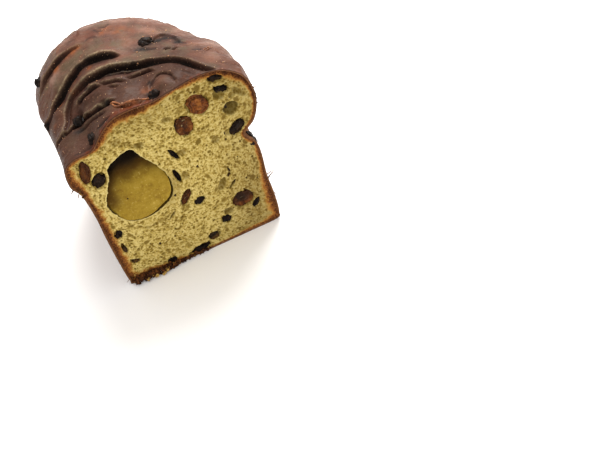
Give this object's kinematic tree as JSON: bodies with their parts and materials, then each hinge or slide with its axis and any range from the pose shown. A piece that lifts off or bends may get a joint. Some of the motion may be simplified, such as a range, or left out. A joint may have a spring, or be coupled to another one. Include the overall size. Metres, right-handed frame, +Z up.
{
  "type": "currant bread with almond paste",
  "caption": "Cut half of a tin loaf of currant bread with a dark folded crust, raisins in its crumb and a round log of almond paste baked into it.",
  "frame": {"origin": "on the flat base, under the centre of the bounding box", "axes": "+Z up; -Y out of the knife-cut face; +X to the right of that face; +Y towards the rounded end of the loaf"},
  "size_m": [0.1141, 0.1199, 0.1259],
  "materials": {
    "bread": "yellow crumb with fine open pores, in a thin, dark, glazed brown crust",
    "paste": "dense ochre almond paste, slightly moist",
    "sultana": "moist orange-brown dried grape, cut through",
    "raisin": "wrinkled, nearly black dried grape"
  },
  "bodies": {
    "root": {"bread": "bread", "almond_paste": "paste", "sultana_crown": "sultana", "sultana_upper": "sultana", "sultana_right": "sultana", "sultana_left": "sultana", "sultana_middle": "sultana", "raisin_by_paste": "raisin", "raisin_lobe": "raisin", "raisin_slit": "raisin", "raisin_hollow": "raisin", "raisin_top": "raisin", "raisin_arc": "raisin", "raisin_base": "raisin", "raisin_low": "raisin", "raisin_corner": "raisin", "currant_right": "raisin", "currant_low": "raisin", "currant_left": "raisin", "currant_middle": "raisin", "currant_base": "raisin", "raisin_rim": "raisin", "raisin_rim_left": "raisin", "raisin_burnt": "raisin", "raisin_fold": "raisin", "raisin_side": "raisin", "currant_side": "raisin", "raisin_notch": "raisin"}
  },
  "joints": []
}
